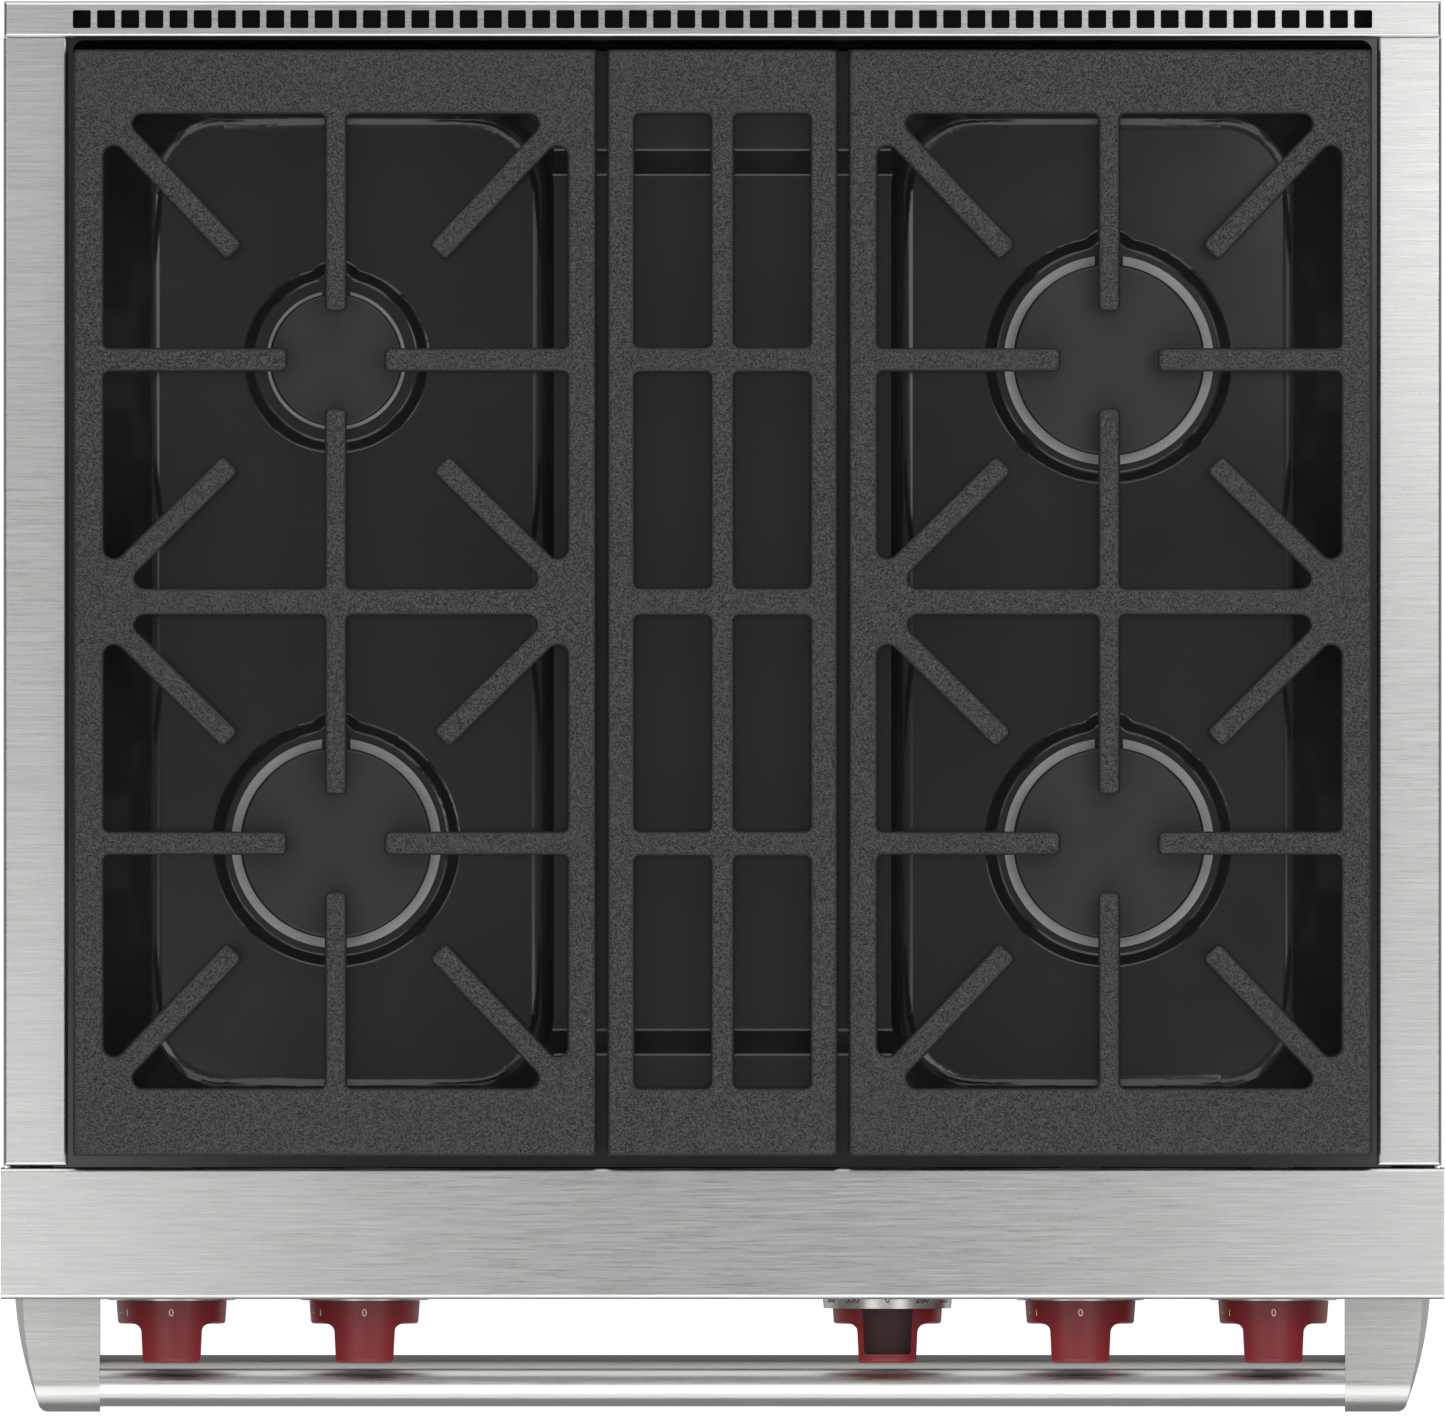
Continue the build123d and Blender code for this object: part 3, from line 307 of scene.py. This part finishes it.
def plated(name, colour, rough):
    """Plated or drawn metal with slight scuffing."""
    mat = Mat(name).set(Metallic=1.0)
    scuff = mat.noise((220.0,) * 3, 3.0, 0.6)
    mat.colour(mat.blend(mat.remap(scuff, 0, 1), tuple(c * 0.86 for c in colour), colour))
    mat.roughness(mat.remap(scuff, rough, rough + 0.12))
    return mat.bump(scuff, 4e-6).material


def painted(name, colour, rough, grain=900.0, relief=8e-6):
    """Sprayed paint or moulded plastic."""
    mat = Mat(name)
    grit = mat.noise((grain,) * 3, 2.0)
    slow = mat.noise((18.0,) * 3, 2.0)
    mat.colour(mat.blend(mat.remap(slow, 0, 1), tuple(c * 0.85 for c in colour), colour))
    mat.roughness(mat.remap(grit, rough - 0.06, rough + 0.06))
    return mat.bump(grit, relief).material


def woven(name, dark, light, pitch):
    """Braided glass-fibre rope."""
    mat = Mat(name)
    strands = mat.cells((1 / pitch,) * 3, "Distance")
    mat.colour(mat.blend(mat.remap(strands, 0, 1, 0.0, 0.8), light, dark))
    mat.set(Roughness=0.9, Sheen_Weight=0.2)
    return mat.bump(strands, 6e-4).material


def glass(name, colour, rough=0.0):
    """Flat tinted glass, very slightly uneven."""
    mat = Mat(name).set(Transmission_Weight=0.94, IOR=1.5)
    smear = mat.noise((5.0,) * 3, 2.0)
    mat.colour(mat.blend(mat.remap(smear, 0, 1), tuple(c * 0.92 for c in colour), colour))
    mat.roughness(mat.remap(smear, rough, rough + 0.015))
    return mat.material


def ink(name, colour):
    """Printed or filled marking."""
    mat = Mat(name)
    worn = mat.noise((900.0,) * 3, 2.0)
    mat.colour(mat.blend(mat.remap(worn, 0, 1), tuple(c * 0.9 for c in colour), colour))
    return mat.set(Roughness=0.5).material


MATERIALS = {
    "fascia_steel": brushed("fascia_steel", (0.60, 0.595, 0.587), 0.30),
    "body_steel": brushed("body_steel", BODY_STEEL, BODY_ROUGHNESS),
    "handle_steel": brushed("handle_steel", (0.63, 0.625, 0.615), 0.19, contrast=0.06),
    "bezel_steel": spun("bezel_steel", (0.66, 0.655, 0.64), 0.30),
    "leg_steel": brushed("leg_steel", (0.53, 0.52, 0.51), 0.34, along="z"),
    "cast_grate": cast_enamel("cast_grate", (0.006, 0.006, 0.006), (0.093, 0.093, 0.092),
                              1250.0, 4e-5),
    "cooktop_enamel": gloss_enamel("cooktop_enamel", (0.0187, 0.0187, 0.0187), PAN_REAR_FLANGE),
    "cap_enamel": cap_enamel(),
    "burner_alloy": cast_alloy(),
    "electrode_ceramic": painted("electrode_ceramic", (0.78, 0.76, 0.70), 0.5),
    "knob_red": knob_red(),
    "brass": plated("brass", (0.70, 0.50, 0.20), 0.25),
    "stem_steel": plated("stem_steel", (0.52, 0.52, 0.50), 0.28),
    "gas_pipe": painted("gas_pipe", (0.045, 0.045, 0.048), 0.5, 500.0, 3e-5),
    "gas_tube": plated("gas_tube", (0.70, 0.70, 0.70), 0.3),
    "thermostat_metal": plated("thermostat_metal", (0.50, 0.50, 0.48), 0.35),
    "module_plastic": painted("module_plastic", (0.05, 0.05, 0.055), 0.55, 1200.0, 2e-5),
    "oven_enamel": speckled_enamel("oven_enamel", (0.018, 0.022, 0.032), (0.36, 0.38, 0.42)),
    "rope_gasket": woven("rope_gasket", (0.10, 0.10, 0.095), (0.34, 0.33, 0.31), 0.002),
    "burner_steel": plated("burner_steel", (0.34, 0.31, 0.27), 0.4),
    "rack_chrome": plated("rack_chrome", (0.78, 0.78, 0.79), 0.10),
    "fan_steel": plated("fan_steel", (0.55, 0.55, 0.54), 0.32),
    "motor_paint": painted("motor_paint", (0.03, 0.03, 0.032), 0.45),
    "lamp_glass": glass("lamp_glass", (0.95, 0.92, 0.85), 0.15),
    "galvanised": galvanised(),
    "door_glass": glass("door_glass", (0.10, 0.10, 0.11)),
}


def dress_nodes():
    """Give every CAD node the material of its slot, with the sides' steel brushed along Y."""
    for entry in frame["record"]["subparts"]:
        mesh = nodes[entry["node"]].data
        mesh.materials.clear()
        mesh.materials.append(MATERIALS[entry["material_slot"]])
    side = brushed("side_steel", BODY_STEEL, BODY_ROUGHNESS, along="y")
    nodes["side_panels"].data.materials[0] = side


# ------------------------------------------------------------------ markings

def text_outline(text, height):
    """Flat mesh of a text, centred on the origin, with its figures as tall as given."""
    curve = bpy.data.curves.new("text", "FONT")
    curve.body = text
    curve.align_x = "CENTER"
    curve.resolution_u = 3
    curve.size = 1.0
    curve.offset = 0.004
    holder = bpy.data.objects.new("text", curve)
    bpy.context.scene.collection.objects.link(holder)
    bpy.context.view_layer.update()
    mesh = bpy.data.meshes.new_from_object(holder)
    bpy.data.objects.remove(holder)
    heights = [v.co.y for v in mesh.vertices]
    low, tall = min(heights), max(heights) - min(heights)
    for vertex in mesh.vertices:
        vertex.co = Vector((vertex.co.x, vertex.co.y - low - tall / 2, 0)) * (height / tall)
    return mesh


def strip_outline(width, height):
    """Flat rectangle centred on the origin."""
    mesh = bpy.data.meshes.new("strip")
    x, y = width / 2, height / 2
    mesh.from_pydata([(-x, -y, 0), (x, -y, 0), (x, y, 0), (-x, y, 0)], [], [(0, 1, 2, 3)])
    return mesh


def dial(name, node, centre, labels, radius, taper, depth, material):
    """Markings wrapped round a knob or ring whose axis runs along Y.

    Each label is (angle from the top in degrees, clockwise; flat mesh). The radius is the
    surface's own at the depth given (Y), and it changes by taper per metre of Y.
    """
    lift, thick = 0.04 * MM, 0.06 * MM
    shape = bmesh.new()
    for angle, mesh in labels:
        piece = bmesh.new()
        piece.from_mesh(mesh)
        bmesh.ops.triangulate(piece, faces=piece.faces[:])
        flat = piece.faces[:]
        grown = bmesh.ops.extrude_face_region(piece, geom=flat)
        tops = {v for v in grown["geom"] if isinstance(v, bmesh.types.BMVert)}
        for vertex in piece.verts:
            u, v, _ = vertex.co
            reach = radius + taper * v + (lift if vertex in tops else lift - thick)
            turn = math.radians(angle) + u / radius
            vertex.co = (centre.x + reach * math.sin(turn), depth + v,
                         centre.z + reach * math.cos(turn))
        bmesh.ops.recalc_face_normals(piece, faces=piece.faces[:])
        joined = bpy.data.meshes.new("label")
        piece.to_mesh(joined)
        shape.from_mesh(joined)
        piece.free()
    mesh = bpy.data.meshes.new(name)
    shape.to_mesh(mesh)
    shape.free()
    mesh.materials.append(material)
    marks = bpy.data.objects.new(name, mesh)
    bpy.context.scene.collection.objects.link(marks)
    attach(marks, node)


def dials():
    """White figures on the burner knobs' skirts, dark ones on the oven knob's ring."""
    white = ink("white_figures", (0.72, 0.66, 0.66))
    black = ink("black_figures", (0.012, 0.012, 0.012))
    first, step, tick_offset = -54.0, -36.0, -15.0
    settings = [(first + step * index, str(index + 1)) for index in range(5)]
    for burner in BURNER_NAMES:
        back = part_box(f"{burner}_knob")[1].y
        centre = sum(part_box(f"{burner}_valve_stem"), Vector()) / 2
        labels = [(0.0, text_outline("0", FIGURE_HEIGHT))]
        labels += [(angle, text_outline(text, FIGURE_HEIGHT * 0.9)) for angle, text in settings]
        labels += [(angle + tick_offset, strip_outline(1.2 * MM, 0.5 * MM))
                   for angle, _ in settings]
        dial(f"{burner}_knob_figures", f"{burner}_knob", centre, labels,
             KNOB_RADIUS - KNOB_FIGURES_FROM_BACK * KNOB_TAPER, KNOB_TAPER,
             back - KNOB_FIGURES_FROM_BACK, white)
    centre = sum(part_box("oven_thermostat_stem"), Vector()) / 2
    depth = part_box("knob_bezels")[0].y + RING_FIGURES_FROM_FRONT
    degrees = (200, 225, 250, 275, 300, 325, 350, 400, 450, 500, 550)
    first, step = 33.0, 29.4
    labels = [(0.0, text_outline("0", FIGURE_HEIGHT))]
    labels += [(first + step * index, text_outline(str(value), FIGURE_HEIGHT))
               for index, value in enumerate(degrees)]
    dial("oven_ring_figures", "root", centre, labels,
         RING_RADIUS - (RING_DEPTH - RING_FIGURES_FROM_FRONT) * RING_TAPER, RING_TAPER,
         depth, black)


# ------------------------------------------------------------------ studio

# Name, place, target, size and radiance of each soft box.
SOFT_BOXES = (
    ("front_upper_box", (0.0, -1.85, 2.88), (0, -0.12, 1.88), (2.4, 2.06), 1.6),
    ("front_lower_box", (0.0, -2.65, 1.50), (0, -0.92, 0.50), (2.4, 1.14), 0.85),
    ("back_box", (0.0, 2.21, 2.44), (0, 0.44, 1.52), (2.4, 3.28), 1.4),
    ("left_front_box", (-0.72, -0.42, 2.4), (-0.5, -0.3, 0.9), (0.40, 0.9), 1.6),
    ("left_back_box", (-0.72, 0.35, 2.4), (-0.5, 0.3, 0.9), (0.40, 0.6), 1.0),
    ("right_front_box", (0.74, -0.45, 2.4), (0.5, -0.3, 0.9), (0.40, 0.9), 1.4),
    ("right_back_box", (0.72, 0.40, 2.4), (0.5, 0.3, 0.9), (0.40, 0.8), 2.7),
)


def area_light(name, place, target, size, radiance):
    """Soft rectangular light aimed at a point; it doesn't show itself to the camera."""
    data = bpy.data.lights.new(name, "AREA")
    data.shape = "RECTANGLE"
    data.size, data.size_y = size
    data.energy = radiance * size[0] * size[1] * math.pi
    light = bpy.data.objects.new(name, data)
    light.location = place
    aim = Vector(target) - Vector(place)
    light.rotation_euler = aim.to_track_quat("-Z", "Y").to_euler()
    light.visible_camera = False
    bpy.context.scene.collection.objects.link(light)


def sky():
    """World that is darker to the left and right, and brighter there below the horizon.

    The camera itself sees a pale backdrop.
    """
    world = bpy.data.worlds.new("studio")
    bpy.context.scene.world = world
    world.use_nodes = True
    tree = world.node_tree
    place = tree.nodes.new("ShaderNodeTexCoord")
    split = tree.nodes.new("ShaderNodeSeparateXYZ")
    tree.links.new(place.outputs["Generated"], split.inputs[0])

    def combine(operation, first, second):
        node = tree.nodes.new("ShaderNodeMath")
        node.operation = operation
        for socket, value in zip(node.inputs, (first, second)):
            if isinstance(value, float):
                socket.default_value = value
            else:
                tree.links.new(value, socket)
        return node.outputs[0]

    base, overhead, sides, floor_bounce, low_edge, seen = 0.33, 0.03, -0.20, -1.15, 0.1, 0.9
    sideways = combine("MULTIPLY", split.outputs["X"], split.outputs["X"])
    darker = combine("MULTIPLY", sideways, sides)
    higher = combine("MULTIPLY", split.outputs["Z"], overhead)
    below = combine("MINIMUM", combine("SUBTRACT", split.outputs["Z"], low_edge), 0.0)
    bounce = combine("MULTIPLY", combine("MULTIPLY", below, sideways), floor_bounce)
    level = combine("ADD", combine("ADD", darker, higher), combine("ADD", bounce, base))
    path = tree.nodes.new("ShaderNodeLightPath")
    backdrop = combine("MULTIPLY", combine("SUBTRACT", seen, level),
                       path.outputs["Is Camera Ray"])
    background = tree.nodes["Background"]
    background.inputs["Color"].default_value = (1.0, 0.99, 0.975, 1.0)
    tree.links.new(combine("ADD", level, backdrop), background.inputs["Strength"])


def studio():
    """Pale floor, graded sky and soft boxes overhead, in front and behind."""
    sky()
    mesh = bpy.data.meshes.new("floor")
    reach = 6.0
    mesh.from_pydata([(-reach, -reach, 0), (reach, -reach, 0), (reach, reach, 0),
                      (-reach, reach, 0)], [], [(0, 1, 2, 3)])
    floor = bpy.data.objects.new("floor", mesh)
    bpy.context.scene.collection.objects.link(floor)
    paint = Mat("floor_paint")
    grain = paint.noise((60.0,) * 3, 2.0)
    paint.colour(paint.blend(grain, (0.86, 0.86, 0.86), (0.90, 0.90, 0.90)))
    paint.set(Roughness=0.7, Emission_Color=(1, 1, 1, 1), Emission_Strength=0.7)
    mesh.materials.append(paint.material)
    floor.visible_glossy = False
    for settings in SOFT_BOXES:
        area_light(*settings)


def camera():
    """Long lens straight above the middle, so that the view is nearly parallel."""
    low, high = cad_bounds
    lens, sensor, margin = 1500.0, 36.0, 1.0007
    view_width = (high.x - low.x) * margin
    data = bpy.data.cameras.new("camera")
    data.lens = lens
    data.sensor_width = sensor
    data.clip_end = 200.0
    eye = bpy.data.objects.new("camera", data)
    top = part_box("control_panel")[1].z
    eye.location = ((low.x + high.x) / 2, (low.y + high.y) / 2, top + view_width * lens / sensor)
    eye.rotation_euler = (0, 0, 0)
    bpy.context.scene.collection.objects.link(eye)
    bpy.context.scene.camera = eye


dress_nodes()
dials()
studio()
camera()
bpy.context.scene.view_settings.view_transform = "Standard"
